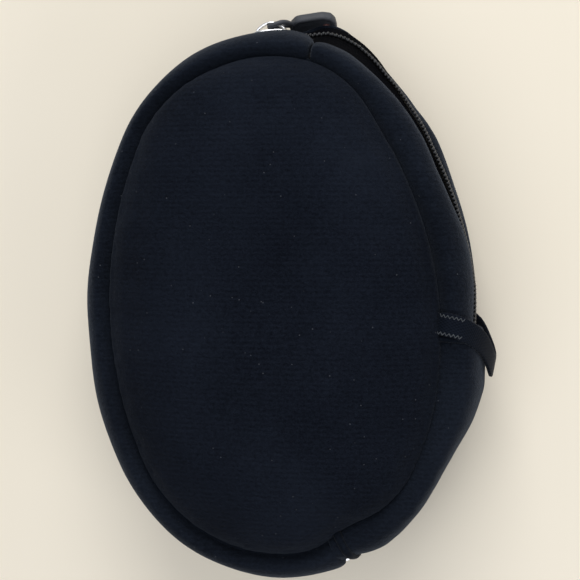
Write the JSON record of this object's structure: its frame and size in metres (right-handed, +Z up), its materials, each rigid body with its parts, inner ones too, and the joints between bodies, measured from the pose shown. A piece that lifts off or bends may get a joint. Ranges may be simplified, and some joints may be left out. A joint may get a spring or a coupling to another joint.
{
  "type": "headphone carrying case",
  "caption": "Oval semi-soft zip case for folding headphones: two domed padded halves joined by a cloth spine, with a zip slider, rubber pull and elastic carry loop.",
  "frame": {"origin": "centre of the back panel's flat, on the surface that the closed case lies on", "axes": "+Z up, out of the front panel; +Y along the case's long axis, towards the parked zip slider; +X towards the side with the spine and carry loop"},
  "size_m": [0.1439, 0.1973, 0.064],
  "materials": {
    "panel_knit": "matte knit",
    "wall_knit": "matte knit",
    "foam_board": "matte moulded foam",
    "lining_cloth": "brushed tricot",
    "binding_tape": "ribbed tape",
    "zip_tape": "woven tape",
    "zip_coil": "satin coil",
    "webbing": "elastic webbing",
    "thread": "sewing thread",
    "chrome": "polished",
    "pull_rubber": "satin",
    "pull_badge": "satin"
  },
  "bodies": {
    "back_half": {"back_panel_cover": "panel_knit", "back_panel_board": "foam_board", "back_panel_lining": "lining_cloth", "back_wall": "wall_knit", "back_wall_lining": "lining_cloth", "back_seam_binding": "binding_tape", "back_zip_tape": "zip_tape", "back_zip_coil": "zip_coil", "zip_end_stops": "chrome", "spine_panel": "wall_knit", "spine_lining": "lining_cloth", "spine_end_binding_bottom": "binding_tape", "spine_end_binding_side": "binding_tape", "carry_strap": "webbing", "strap_tacks_back": "thread"},
    "front_half": {"front_panel_cover": "panel_knit", "front_panel_board": "foam_board", "front_panel_lining": "lining_cloth", "front_wall_left": "wall_knit", "front_wall_right": "wall_knit", "front_wall_lining": "lining_cloth", "front_seam_binding": "binding_tape", "front_zip_tape": "zip_tape", "front_zip_coil": "zip_coil", "strap_tacks_front": "thread"},
    "zip_slider": {"slider_body": "chrome", "slider_bridge": "chrome"},
    "pull_tab": {"pull_cord": "pull_rubber", "pull_grip": "pull_rubber", "pull_badge": "pull_badge"}
  },
  "joints": [
    {"name": "case_opening", "type": "hinge", "parent": "back_half", "child": "front_half", "pos_m": [0.05243, -0.06368, 0.032], "axis": [0.4863, 0.8738, 0], "range_deg": [0, 120], "deforming": ["spine_panel", "spine_lining", "spine_end_binding_bottom", "spine_end_binding_side", "carry_strap"]},
    {"name": "slider_travel", "type": "hinge", "parent": "back_half", "child": "zip_slider", "pos_m": [0, 0.0345, 0.032], "axis": [0, 0, 1], "range_deg": [-62, 54]},
    {"name": "pull_swing", "type": "hinge", "parent": "zip_slider", "child": "pull_tab", "pos_m": [-0.00437, 0.09697, 0.032], "axis": [0, 0, 1], "range_deg": [0, 150]}
  ]
}
